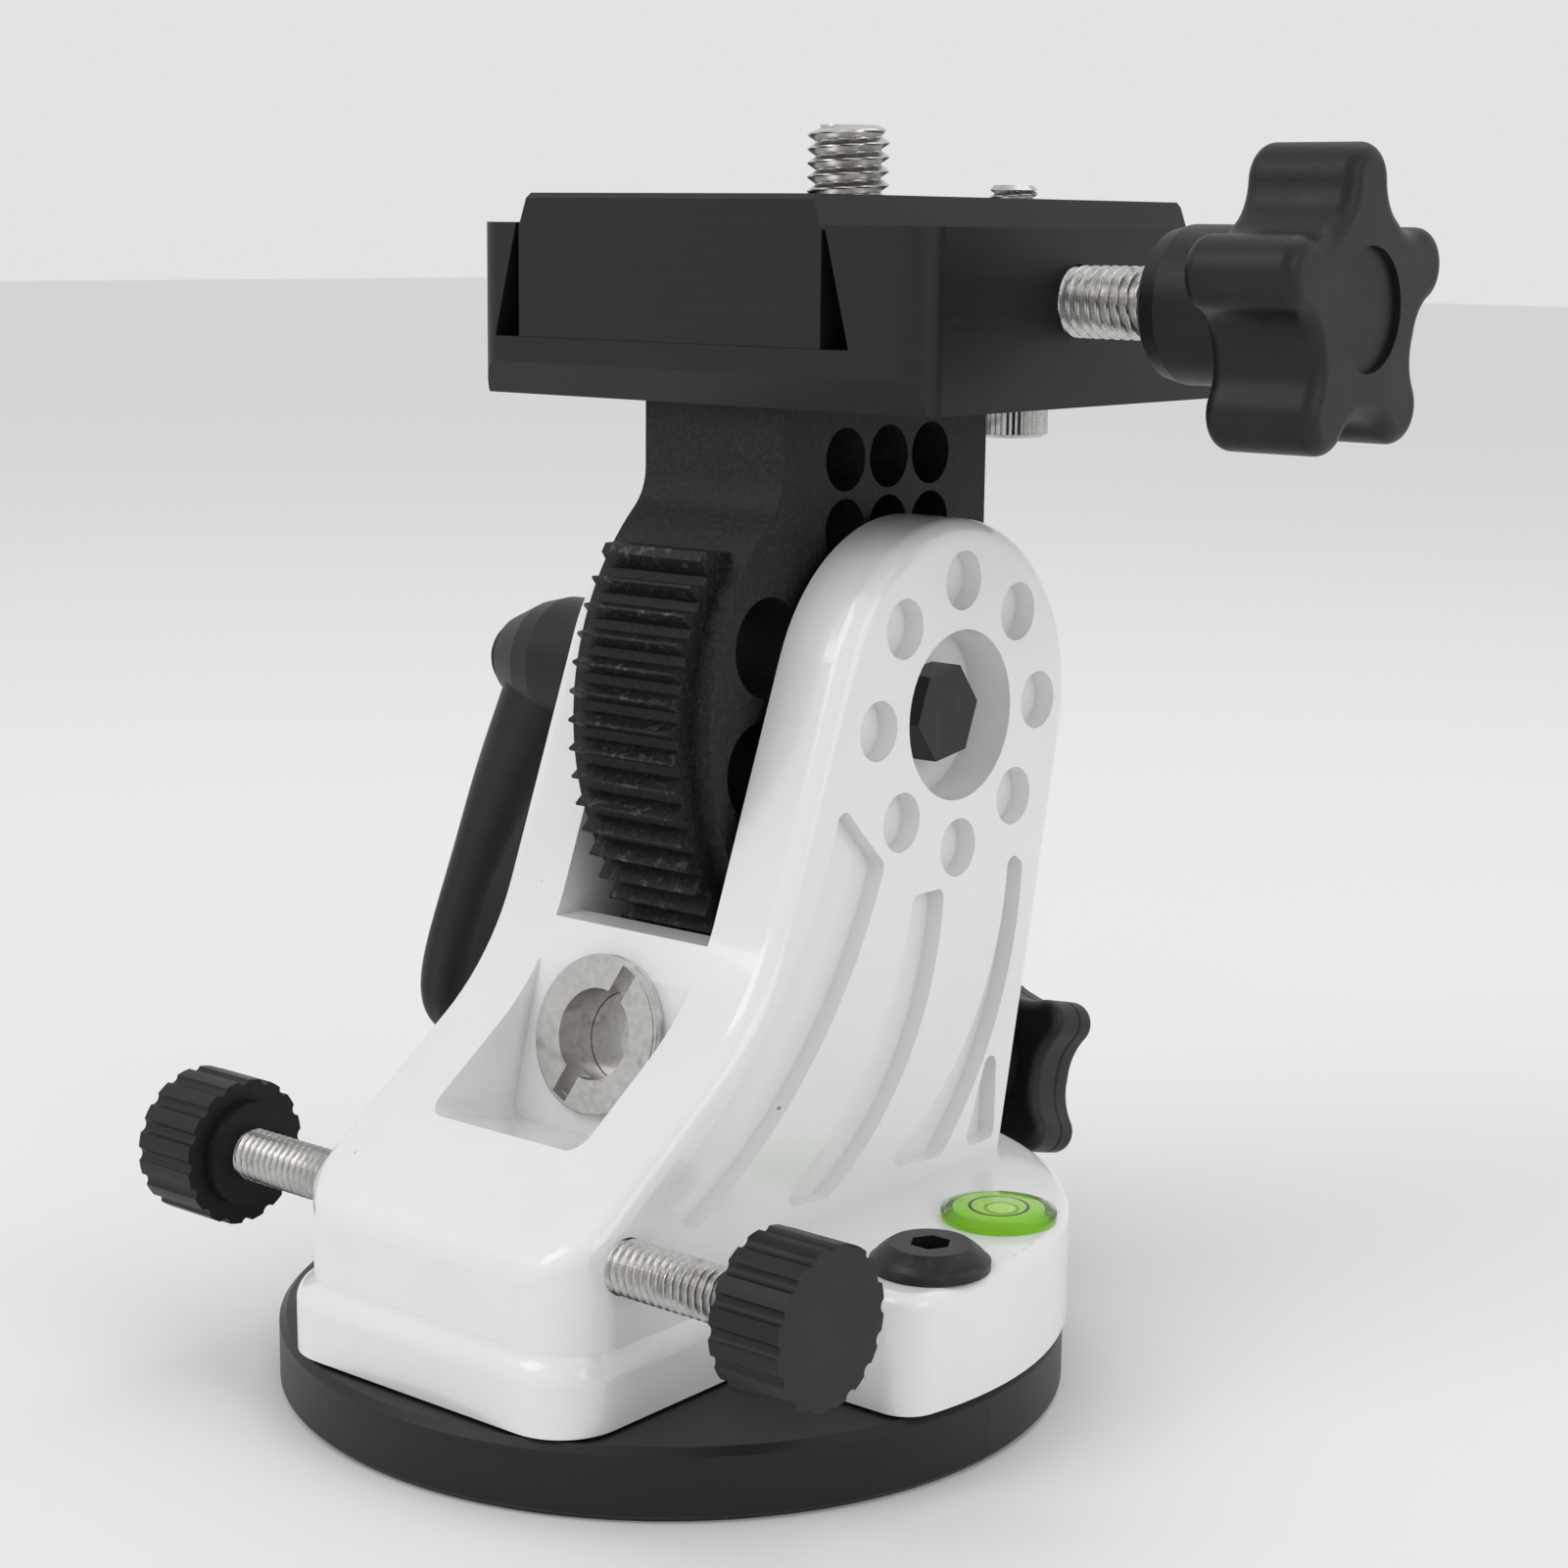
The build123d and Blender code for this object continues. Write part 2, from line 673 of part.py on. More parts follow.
with BuildPart() as lever_cap:
    add(
        turned(
            lever_hub_plane.offset(lever_hub_length),
            (
                (0, 0.02),
                (lever_cap_dia / 2, 0.02),
                (lever_cap_dia / 2, lever_cap_height - 2.1),
                (lever_cap_dia / 2 - 1.6, lever_cap_height - 0.5),
                (lever_cap_dia / 2 - 2.8, lever_cap_height),
                (0, lever_cap_height),
            ),
        )
    )
finish(lever_cap, "lever_cap")

# ---- altitude arm ----


def around_pivot(radius, angle):
    """A point at an angle above the front horizontal, as (y, z)."""
    return (pivot_y - radius * cos(radians(angle)), pivot_z + radius * sin(radians(angle)))


tooth_step = 360 / teeth
crest_half = degrees(crest_width / 2 / tip_radius)
base_half = degrees(tooth_base / 2 / root_radius)
sector_outline = [
    around_pivot(rim_radius - 1, tooth_top_angle + 7),
    around_pivot(tip_radius - 1.2, tooth_top_angle + 3),
    around_pivot(tip_radius, tooth_top_angle + 1.6),
    around_pivot(tip_radius, tooth_top_angle - crest_half),
    around_pivot(root_radius, tooth_top_angle - base_half),
]
tooth_count = int((tooth_top_angle - tooth_bottom_angle) / tooth_step)
for number in range(1, tooth_count):
    crest = tooth_top_angle - number * tooth_step
    sector_outline += [
        around_pivot(root_radius, crest + base_half),
        around_pivot(tip_radius, crest + crest_half),
        around_pivot(tip_radius, crest - crest_half),
        around_pivot(root_radius, crest - base_half),
    ]
sector_end = tooth_top_angle - tooth_count * tooth_step
sector_outline.append(around_pivot(root_radius, sector_end))
sector_outline.append(around_pivot(rim_radius - 4, sector_end))

neck_front = pivot_y - neck_half_depth
flare_z = pivot_z + sqrt(rim_radius**2 - neck_half_depth**2)
with BuildPart() as altitude_arm:
    with BuildSketch(side_plane) as arm_sketch:
        with Locations(pivot):
            Circle(rim_radius)
        with BuildLine():
            Polyline(
                pivot,
                around_pivot(disc_dia, 65),
                around_pivot(disc_dia, 0),
                around_pivot(disc_dia, -60),
                around_pivot(disc_dia, sector_end),
                close=True,
            )
        make_face(mode=Mode.INTERSECT)
        with Locations(pivot):
            Circle(neck_half_depth)
            Rectangle(2 * neck_half_depth, neck_top - pivot_z, align=(Align.CENTER, Align.MIN))
        flare = arm_sketch.vertices().filter_by(
            lambda vertex: abs(vertex.X - neck_front) < 0.1 and abs(vertex.Y - flare_z) < 0.1
        )
        fillet(flare, flare_round)
    extrude(amount=arm_thickness / 2, both=True)
    with BuildSketch(side_plane):
        with BuildLine():
            Polyline(*sector_outline, close=True)
        make_face()
    extrude(amount=tooth_width / 2, both=True)
    with BuildSketch(side_plane):
        with Locations(pivot):
            Circle(sleeve_dia / 2 + 0.02)
        hole_angles = [first_sector_hole - sector_hole_step * n for n in range(sector_hole_count)]
        with Locations(*[around_pivot(sector_hole_ring, angle) for angle in hole_angles]):
            Circle(sector_hole_dia / 2)
        with Locations((pivot_y, neck_hole_top_z - neck_hole_pitch)):
            with GridLocations(neck_hole_pitch, neck_hole_pitch, 3, 3):
                Circle(neck_hole_dia / 2)
    extrude(amount=arm_thickness, both=True, mode=Mode.SUBTRACT)
    with BuildSketch(Plane.XY.offset(neck_top)):
        with Locations((0, pivot_y)):
            with GridLocations(saddle_screw_x, saddle_screw_y, 2, 2):
                Circle(saddle_screw_dia / 2 + 0.02)
    extrude(amount=-saddle_screw_bite - 0.5, mode=Mode.SUBTRACT)
finish(altitude_arm, "altitude_arm")

# ---- saddle ----

saddle_back = saddle_front + saddle_length
with BuildPart() as saddle:
    with BuildSketch(Plane.XY.offset(saddle_bottom)) as saddle_sketch:
        with Locations((0, saddle_front)):
            Rectangle(2 * saddle_half, saddle_length, align=(Align.CENTER, Align.MIN))
        fillet(saddle_sketch.vertices(), saddle_corner)
    extrude(amount=saddle_top - saddle_bottom)
    # dovetail groove from end to end
    with BuildSketch(Plane.XZ.offset(-saddle_back - 1)):
        with BuildLine():
            Polyline(
                (groove_centre - groove_bottom_half, groove_floor),
                (groove_centre + groove_bottom_half, groove_floor),
                (groove_centre + groove_top_half, saddle_top),
                (groove_centre + groove_top_half, saddle_top + 1),
                (groove_centre - groove_top_half, saddle_top + 1),
                (groove_centre - groove_top_half, saddle_top),
                close=True,
            )
        make_face()
    extrude(amount=saddle_length + 2, mode=Mode.SUBTRACT)
    # sloped underside at the front
    with BuildSketch(side_plane.offset(-saddle_half - 1)):
        with BuildLine():
            Polyline(
                (saddle_front - 1, saddle_bottom - 1),
                (saddle_front - 1, saddle_bottom + saddle_slope_z),
                (saddle_front, saddle_bottom + saddle_slope_z),
                (saddle_front + saddle_slope_y, saddle_bottom),
                (saddle_front + saddle_slope_y, saddle_bottom - 1),
                close=True,
            )
        make_face()
    extrude(amount=2 * saddle_half + 2, mode=Mode.SUBTRACT)
    # clamp screw's thread
    with BuildSketch(Plane(origin=(0, clamp_y, clamp_z), x_dir=(0, 1, 0), z_dir=(1, 0, 0))):
        Circle(clamp_dia / 2 + 0.05)
    extrude(amount=saddle_half + 1, mode=Mode.SUBTRACT)
    # counterbored holes over the neck, and the rear screw's slot
    with BuildSketch(Plane.XY.offset(saddle_bottom)):
        with Locations((0, pivot_y)):
            with GridLocations(saddle_screw_x, saddle_screw_y, 2, 2):
                Circle(saddle_screw_dia / 2 + 0.1)
        with Locations((0, rear_screw_y)):
            SlotCenterToCenter(2 * plate_travel, rear_screw_dia + 0.6, rotation=90)
    extrude(amount=saddle_top - saddle_bottom, mode=Mode.SUBTRACT)
    with BuildSketch(Plane.XY.offset(groove_floor - saddle_head_height - 0.3)):
        with Locations((0, pivot_y)):
            with GridLocations(saddle_screw_x, saddle_screw_y, 2, 2):
                Circle(saddle_head_dia / 2 + 0.15)
    extrude(amount=saddle_head_height + 1, mode=Mode.SUBTRACT)
finish(saddle, "saddle")

with BuildPart() as saddle_screws:
    with BuildSketch(Plane.XY.offset(neck_top - saddle_screw_bite)):
        with Locations((0, pivot_y)):
            with GridLocations(saddle_screw_x, saddle_screw_y, 2, 2):
                Circle(saddle_screw_dia / 2)
    extrude(amount=groove_floor - saddle_head_height - 0.3 - neck_top + saddle_screw_bite)
    with BuildSketch(Plane.XY.offset(groove_floor - saddle_head_height - 0.3)):
        with Locations((0, pivot_y)):
            with GridLocations(saddle_screw_x, saddle_screw_y, 2, 2):
                Circle(saddle_head_dia / 2)
                RegularPolygon(1.5, 6, major_radius=False, mode=Mode.SUBTRACT)
    extrude(amount=saddle_head_height)
finish(saddle_screws, "saddle_screws")

# ---- dovetail plate and the screws it carries ----

with BuildPart() as dovetail_plate:
    with BuildSketch(Plane.XZ.offset(-saddle_front - plate_length)):
        with BuildLine():
            Polyline(
                (groove_centre - plate_half, plate_bottom),
                (groove_centre + plate_half, plate_bottom),
                (groove_centre + plate_half, plate_shoulder),
                (groove_centre + plate_top_half, plate_top),
                (groove_centre - plate_top_half, plate_top),
                (groove_centre - plate_half, plate_shoulder),
                close=True,
            )
        make_face()
    extrude(amount=plate_length)
    chamfer(dovetail_plate.edges().filter_by(Axis.X).group_by(Axis.Z)[-1], 0.6)
    with BuildSketch(Plane.XY.offset(plate_bottom)):
        with Locations((0, stud_y)):
            Circle(stud_shank_dia / 2 + 0.02)
        with Locations((0, rear_screw_y)):
            Circle(rear_screw_dia / 2 + 0.02)
    extrude(amount=plate_top - plate_bottom, mode=Mode.SUBTRACT)
    with BuildSketch(Plane.XY.offset(plate_bottom)):
        with Locations((0, stud_y)):
            Circle(stud_head_dia / 2 + 0.1)
    extrude(amount=stud_head_height + 0.2, mode=Mode.SUBTRACT)
finish(dovetail_plate, "dovetail_plate")

stud_base = Plane(origin=(0, stud_y, plate_bottom), x_dir=(1, 0, 0), z_dir=(0, 0, 1))
with BuildPart() as mounting_stud:
    add(
        turned(
            stud_base,
            (
                (0, 0.1),
                (stud_head_dia / 2, 0.1),
                (stud_head_dia / 2, stud_head_height + 0.15),
                (stud_shank_dia / 2, stud_head_height + 0.15),
                (stud_shank_dia / 2, plate_top - 0.2 - plate_bottom),
                (stud_relief_dia / 2, plate_top - 0.2 - plate_bottom),
                (stud_relief_dia / 2, plate_top + stud_relief - plate_bottom),
                (stud_dia / 2, plate_top + stud_relief - plate_bottom),
                (stud_dia / 2, stud_top - 0.8 - plate_bottom),
                (stud_dia / 2 - 0.8, stud_top - plate_bottom),
                (0, stud_top - plate_bottom),
            ),
        )
    )
finish(mounting_stud, "mounting_stud")

rear_screw_base = Plane(origin=(0, rear_screw_y, saddle_bottom - 0.3), x_dir=(1, 0, 0), z_dir=(0, 0, 1))
rear_tip_height = rear_screw_tip - saddle_bottom + 0.3
with BuildPart() as rear_screw:
    add(
        turned(
            rear_screw_base,
            (
                (0, -rear_head_height),
                (rear_head_dia / 2 - 0.4, -rear_head_height),
                (rear_head_dia / 2, 0.4 - rear_head_height),
                (rear_head_dia / 2, 0),
                (rear_screw_dia / 2, 0),
                (rear_screw_dia / 2, rear_tip_height - 0.6),
                (rear_screw_dia / 2 - 0.6, rear_tip_height),
                (0, rear_tip_height),
            ),
        )
    )
    with BuildSketch(rear_screw_base.offset(-rear_head_height)):
        RegularPolygon(2.5, 6, major_radius=False)
    extrude(amount=3.2, mode=Mode.SUBTRACT)
finish(rear_screw, "rear_screw")

# ---- saddle clamp ----

clamp_axis = Plane(origin=(0, clamp_y, clamp_z), x_dir=(0, 1, 0), z_dir=(1, 0, 0))
plate_side = groove_centre + plate_half
with BuildPart() as clamp_pad:
    with BuildSketch(clamp_axis.offset(plate_side + 0.05)):
        Circle(clamp_dia / 2 - 1)
    extrude(amount=clamp_pad_thickness)
finish(clamp_pad, "clamp_pad")

with BuildPart() as clamp_screw:
    with BuildSketch(clamp_axis.offset(plate_side + 0.05 + clamp_pad_thickness)):
        Circle(clamp_dia / 2)
    extrude(amount=clamp_hub_start + clamp_hub_length - plate_side - 0.05 - clamp_pad_thickness)
finish(clamp_screw, "clamp_screw")

star_start = clamp_hub_start + clamp_hub_length
with BuildPart() as star_knob:
    with BuildSketch(clamp_axis.offset(star_start)):
        add(
            lobed_outline(
                star_core, star_dia / 2 - star_lobe, star_lobe, star_lobes, star_first_lobe, star_blend
            )
        )
    extrude(amount=clamp_star_length)
    fillet(star_knob.faces().sort_by(Axis.X)[-1].edges(), star_edge)
    fillet(star_knob.faces().sort_by(Axis.X)[0].edges(), star_edge)
    add(
        turned(
            clamp_axis.offset(clamp_hub_start),
            (
                (0, 0),
                (clamp_hub_dia / 2 - 2.0, 0),
                (clamp_hub_dia / 2 - 0.5, 1.2),
                (clamp_hub_dia / 2, 3.2),
                (clamp_hub_dia / 2, clamp_hub_length + 1),
                (0, clamp_hub_length + 1),
            ),
        )
    )
    with BuildSketch(clamp_axis.offset(star_start + clamp_star_length - star_recess)):
        Circle(star_cap_dia / 2 + 0.02)
    extrude(amount=star_recess + 1, mode=Mode.SUBTRACT)
    with BuildSketch(clamp_axis.offset(clamp_hub_start - 1)):
        Circle(clamp_dia / 2 + 0.05)
    extrude(amount=clamp_hub_length + 1.05, mode=Mode.SUBTRACT)
finish(star_knob, "star_knob")

with BuildPart() as star_cap:
    with BuildSketch(clamp_axis.offset(star_start + clamp_star_length - star_recess)):
        Circle(star_cap_dia / 2)
    extrude(amount=star_recess - 0.7)
finish(star_cap, "star_cap")

# ---- azimuth thumb screws ----

for side, way in (("right", 1), ("left", -1)):
    tip_x = post_x + way * (post_dia / 2 + thumb_gap)
    stud_plane = Plane(origin=(tip_x, screw_y, screw_z), x_dir=(0, 1, 0), z_dir=(way, 0, 0))
    with BuildPart() as thumb_stud:
        with BuildSketch(stud_plane):
            Circle(thumb_thread_dia / 2)
        extrude(amount=thumb_stud_length + thumb_stud_bite)
        tip_edge = thumb_stud.edges().filter_by(lambda edge: abs(edge.center().X - tip_x) < 0.01)
        chamfer(tip_edge, 0.6)
    finish(thumb_stud, f"thumb_stud_{side}")
    knob_plane = stud_plane.offset(thumb_stud_length)
    with BuildPart() as thumb_knob:
        with BuildSketch(knob_plane.offset(thumb_boss_length)):
            Circle(thumb_knob_dia / 2)
            with PolarLocations(thumb_knob_dia / 2 + 0.35, thumb_ribs):
                Circle(thumb_rib_r, mode=Mode.SUBTRACT)
        extrude(amount=thumb_knob_length)
        with BuildSketch(knob_plane):
            Circle(thumb_boss_dia / 2)
        extrude(amount=thumb_boss_length)
        with BuildSketch(knob_plane):
            Circle(thumb_thread_dia / 2 + 0.05)
        extrude(amount=thumb_stud_bite + 0.05, mode=Mode.SUBTRACT)
    finish(thumb_knob, f"thumb_knob_{side}")

# ---- bubble level ----

level_seat = Plane(origin=(level_x, level_y, lobe_top), x_dir=(1, 0, 0), z_dir=(0, 0, 1))
with BuildPart() as level_case:
    add(
        turned(
            level_seat,
            (
                (0, -level_sink + 0.05),
                (level_dia / 2, -level_sink + 0.05),
                (level_dia / 2, 0.02),
                (level_flange_dia / 2, 0.02),
                (level_flange_dia / 2, level_flange),
                (level_dia / 2, level_flange + 0.1),
                (level_dia / 2 - 0.3, level_stand),
                (0, level_stand),
            ),
        )
    )
    with BuildSketch(level_seat.offset(-level_sink + 0.8)):
        Circle(level_dia / 2 - 1.0)
    extrude(amount=level_sink + level_stand - 1.6, mode=Mode.SUBTRACT)
finish(level_case, "level_case")

with BuildPart() as level_fluid:
    with BuildSketch(level_seat.offset(-level_sink + 0.82)):
        Circle(level_dia / 2 - 1.02)
    extrude(amount=level_sink + level_stand - 1.64)
finish(level_fluid, "level_fluid")
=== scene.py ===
import json
from math import cos, pi, radians, sin, tau

import bpy
import numpy as np
from mathutils import Matrix, Vector


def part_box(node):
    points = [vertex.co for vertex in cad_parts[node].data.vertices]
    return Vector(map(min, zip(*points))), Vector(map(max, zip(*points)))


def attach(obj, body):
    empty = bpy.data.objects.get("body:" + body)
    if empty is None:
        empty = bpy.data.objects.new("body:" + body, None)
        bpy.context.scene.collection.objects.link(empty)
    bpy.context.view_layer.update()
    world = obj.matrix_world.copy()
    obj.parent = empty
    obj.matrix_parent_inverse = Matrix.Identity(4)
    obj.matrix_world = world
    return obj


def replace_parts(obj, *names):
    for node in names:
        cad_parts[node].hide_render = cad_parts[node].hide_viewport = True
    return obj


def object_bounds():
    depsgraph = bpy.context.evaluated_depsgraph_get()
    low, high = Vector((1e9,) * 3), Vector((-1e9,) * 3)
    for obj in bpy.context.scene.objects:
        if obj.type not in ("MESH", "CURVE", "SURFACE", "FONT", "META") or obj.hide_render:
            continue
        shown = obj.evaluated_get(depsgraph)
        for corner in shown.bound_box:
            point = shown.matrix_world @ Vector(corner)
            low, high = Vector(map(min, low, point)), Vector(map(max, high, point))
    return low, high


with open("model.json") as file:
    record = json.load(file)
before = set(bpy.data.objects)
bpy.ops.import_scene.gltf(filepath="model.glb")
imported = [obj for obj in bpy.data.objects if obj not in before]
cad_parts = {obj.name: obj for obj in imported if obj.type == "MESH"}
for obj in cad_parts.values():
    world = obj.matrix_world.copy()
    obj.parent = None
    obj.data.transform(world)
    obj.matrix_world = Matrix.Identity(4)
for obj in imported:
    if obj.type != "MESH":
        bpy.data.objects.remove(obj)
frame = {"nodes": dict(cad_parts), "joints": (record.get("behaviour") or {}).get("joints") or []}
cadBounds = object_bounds()
nodes = frame["nodes"]
joints = {joint["name"]: joint for joint in frame["joints"]}
mm = 0.001
print("frame loaded,", len(nodes), "nodes")


# One value in a material: each operator adds the Math node that does it.
class Wire:
    def __init__(self, finish, socket):
        self.finish = finish
        self.socket = socket

    def maths(self, operation, *values):
        return self.finish.node("ShaderNodeMath", {"operation": operation}, dict(enumerate(values)))

    def __add__(self, other):
        return self.maths("ADD", self, other)

    def __radd__(self, other):
        return self.maths("ADD", other, self)

    def __sub__(self, other):
        return self.maths("SUBTRACT", self, other)

    def __rsub__(self, other):
        return self.maths("SUBTRACT", other, self)

    def __mul__(self, other):
        return self.maths("MULTIPLY", self, other)

    def __rmul__(self, other):
        return self.maths("MULTIPLY", other, self)

    def __pow__(self, other):
        return self.maths("POWER", self, other)

    # 0 at low, 1 at high, straight between and held outside
    def rise(self, low, high):
        sockets = {"Value": self, "From Min": low, "From Max": high}
        return self.finish.node("ShaderNodeMapRange", {"clamp": True}, sockets)


# One material. node() adds any node: its type, its settings, its sockets' values or links.
class Finish:
    def __init__(self, name, constants=None):
        self.material = bpy.data.materials.new(name)
        self.material.use_nodes = True
        self.tree = self.material.node_tree
        self.shader = self.tree.nodes["Principled BSDF"]
        self.feed(constants or {})

    def node(self, kind, settings=None, sockets=None, output=0):
        made = self.tree.nodes.new(kind)
        for key, value in (settings or {}).items():
            setattr(made, key, value)
        self.feed(sockets or {}, made)
        return Wire(self, made.outputs[output])

    def feed(self, sockets, made=None):
        made = made or self.shader
        for key, value in sockets.items():
            if isinstance(value, Wire):
                self.tree.links.new(value.socket, made.inputs[key])
            else:
                made.inputs[key].default_value = value
        return self.material

    # object coordinates, moved to a centre, turned and divided by a stretch
    def place(self, centre=(0, 0, 0), turn=(0, 0, 0), stretch=(1, 1, 1)):
        here = self.node("ShaderNodeTexCoord", output="Object")
        return self.node(
            "ShaderNodeMapping",
            {"vector_type": "TEXTURE"},
            {"Vector": here, "Location": centre, "Rotation": turn, "Scale": stretch},
        )

    def axes(self, place):
        apart = self.node("ShaderNodeSeparateXYZ", sockets={0: place})
        return [Wire(self, out) for out in apart.socket.node.outputs]

    def noise(self, place, size, detail=2.0, roughness=0.5):
        return self.node(
            "ShaderNodeTexNoise",
            sockets={"Vector": place, "Scale": 1 / size, "Detail": detail, "Roughness": roughness},
        )

    # distance to the nearest of the scattered points, in cells of the given size
    def cells(self, place, size):
        return self.node("ShaderNodeTexVoronoi", sockets={"Vector": place, "Scale": 1 / size})

    def mix(self, amount, first, second):
        return self.node("ShaderNodeMix", {"data_type": "RGBA"}, {0: amount, 6: first, 7: second}, output=2)

    # a surface raised by height times depth
    def bump(self, height, depth):
        return self.node("ShaderNodeBump", sockets={"Height": height, "Distance": depth, "Strength": 1.0})


whiteLook = {
    "paint": (0.82, 0.82, 0.81, 1),
    "shade": (0.76, 0.76, 0.75, 1),
    "shadeSize": 14 * mm,
    "shadeAmount": 0.45,
    "speck": (0.07, 0.065, 0.06, 1),
    "speckCell": 5.5 * mm,
    "speckShare": 0.055,        # of a cell, a speck's radius
    "speckPatch": 9 * mm,       # size of the patches that have specks
    "speckDepth": 1.5,          # against the orange peel's height
    "speckAmount": 0.85,
    "peelSize": 2.6 * mm,
    "peelDepth": 0.03 * mm,
    "roughness": 0.12,
}


# colour = paint, a little shaded by slow noise, with specks where a cell's point is near and a
# second noise is high; normal = orange peel, sunk at each speck
def makeWhitePaint():
    look = whiteLook
    finish = Finish("whitePaint", {"Coat Weight": 0.6, "Coat Roughness": 0.05, "IOR": 1.5})
    place = finish.place()
    shade = finish.noise(place, look["shadeSize"], 4).rise(0.45, 0.75) * look["shadeAmount"]
    near = 1 - finish.cells(place, look["speckCell"]).rise(look["speckShare"] * 0.55, look["speckShare"])
    speck = near * finish.noise(place, look["speckPatch"], 1).rise(0.5, 0.6)
    tone = finish.mix(shade, look["paint"], look["shade"])
    peel = finish.noise(place, look["peelSize"], 2) - speck * look["speckDepth"]
    return finish.feed({
        "Base Color": finish.mix(speck * look["speckAmount"], tone, look["speck"]),
        "Roughness": look["roughness"] + finish.noise(place, 5 * mm, 3) * 0.1 + speck * 0.4,
        "Normal": finish.bump(peel, look["peelDepth"]),
    })


anodisedLook = {
    "dark": (0.006, 0.006, 0.0065, 1),
    "light": (0.018, 0.018, 0.019, 1),
    "lineGap": 0.55 * mm,
    "lineLength": 60,           # against the gap
    "dustSize": 0.5 * mm,
    "cloudSize": 12 * mm,
    "depth": 0.012 * mm,
    "roughness": 0.3,
}


# colour and roughness follow fine lines: noise squeezed along Z and pulled out along X and Y
def makeAnodised():
    look = anodisedLook
    finish = Finish("anodisedBlack", {"IOR": 1.5, "Specular IOR Level": 0.34})
    along = finish.place(stretch=(look["lineLength"], look["lineLength"], 1))
    lines = finish.noise(along, look["lineGap"], 2)
    dust = finish.noise(finish.place(), look["dustSize"], 3).rise(0.62, 0.8)
    cloud = finish.noise(finish.place(), look["cloudSize"], 4)
    return finish.feed({
        "Base Color": finish.mix(lines * 0.5 + dust * 0.5, look["dark"], look["light"]),
        "Roughness": look["roughness"] + cloud * 0.12 + lines * 0.1,
        "Normal": finish.bump(lines + dust * 0.4, look["depth"]),
    })


castLook = {
    "dark": (0.007, 0.007, 0.0075, 1),
    "light": (0.028, 0.028, 0.029, 1),
    # colour of the painted highlight on the teeth's tips
    "paintedHighlight": (0.12, 0.12, 0.118, 1),
    "grain": 0.55 * mm,
    "depth": 0.07 * mm,
    "highlightSize": 1.1 * mm,
    "toothRoot": 33.4 * mm,     # from the tilting axis
    "toothTip": 35.2 * mm,
    "toothHalf": 7.3 * mm,      # half the teeth's width
    "sectorTop": 21.5 * mm,     # above the tilting axis, where the teeth end
    "roughness": 0.46,
}


# colour = dark casting with light grains, with a painted highlight: pale patches toward the teeth's tips;
# their distance from the tilting axis, width and height bound the painted highlight
def makeCastBlack():
    look = castLook
    finish = Finish("castBlack", {"IOR": 1.5, "Specular IOR Level": 0.3})
    place = finish.place()
    grain = finish.noise(place, look["grain"], 3, 0.6)
    x, y, z = finish.axes(finish.place(centre=joints["altitude_tilt"]["pos_m"]))
    reach = (y * y + z * z) ** 0.5
    half = look["toothHalf"]
    onWidth = 1 - (x * x).rise(half**2, (half * 1.06) ** 2)
    onTeeth = reach.rise(look["toothRoot"], look["toothTip"]) * onWidth
    onTeeth = onTeeth * (1 - reach.rise(look["toothTip"] * 1.005, look["toothTip"] * 1.02))
    onTeeth = onTeeth * (1 - z.rise(look["sectorTop"], look["sectorTop"] * 1.05))
    # painted highlight: pale, less rough patches toward the teeth's tips
    paintedHighlight = onTeeth * finish.noise(place, look["highlightSize"], 3).rise(0.56, 0.74)
    tone = finish.mix(grain.rise(0.45, 0.8), look["dark"], look["light"])
    return finish.feed({
        "Base Color": finish.mix(paintedHighlight * 0.8, tone, look["paintedHighlight"]),
        "Roughness": look["roughness"] + grain * 0.2 - paintedHighlight * 0.1,
        "Normal": finish.bump(grain, look["depth"]),
    })


plasticLook = {
    "dark": (0.006, 0.006, 0.0064, 1),
    "light": (0.019, 0.019, 0.0195, 1),
    "grain": 0.32 * mm,
    "rubSize": 6 * mm,
    "depth": 0.018 * mm,
    "roughness": 0.36,
}


# colour = black with faint grey in the texture's high spots; normal = the moulded fine grain
def makePlastic():
    look = plasticLook
    finish = Finish("blackPlastic", {"IOR": 1.49, "Specular IOR Level": 0.36})
    place = finish.place()
    grain = finish.noise(place, look["grain"], 2, 0.55)
    rub = finish.noise(place, look["rubSize"], 4).rise(0.5, 0.75)
    return finish.feed({
        "Base Color": finish.mix(grain.rise(0.5, 0.8) * 0.6 + rub * 0.3, look["dark"], look["light"]),
        "Roughness": look["roughness"] + grain * 0.16 - rub * 0.06,
        "Normal": finish.bump(grain, look["depth"]),
    })


steelLook = {
    "bright": (0.60, 0.585, 0.565, 1),
    "dull": (0.46, 0.45, 0.435, 1),
    "grime": (0.16, 0.15, 0.14, 1),
    "fineSize": 0.9 * mm,
    "streakSize": 0.3 * mm,
    "streakTurn": (0.4, 0.2, 0.9),
    "streakLength": 14,         # against its size
    "grimeSize": 2.6 * mm,
}


# colour = bright metal dulled by fine noise, with grime in slow patches set by its share
def makeSteel(name, roughness, grimeShare, scratch):
    look = steelLook
    finish = Finish(name, {"Metallic": 1.0})
    place = finish.place()
    fine = finish.noise(place, look["fineSize"], 2)
    along = finish.place(turn=look["streakTurn"], stretch=(look["streakLength"], 1, 1))
    streak = finish.noise(along, look["streakSize"], 2)
    grime = finish.noise(place, look["grimeSize"], 3, 0.5).rise(0.62 - grimeShare, 0.86 - grimeShare)
    tone = finish.mix(fine.rise(0.4, 0.7) * 0.6, look["bright"], look["dull"])
    return finish.feed({
        "Base Color": finish.mix(grime * 0.6, tone, look["grime"]),
        "Roughness": roughness + fine * 0.14 + grime * 0.25,
        "Normal": finish.bump(streak + fine * 0.5, scratch),
    })


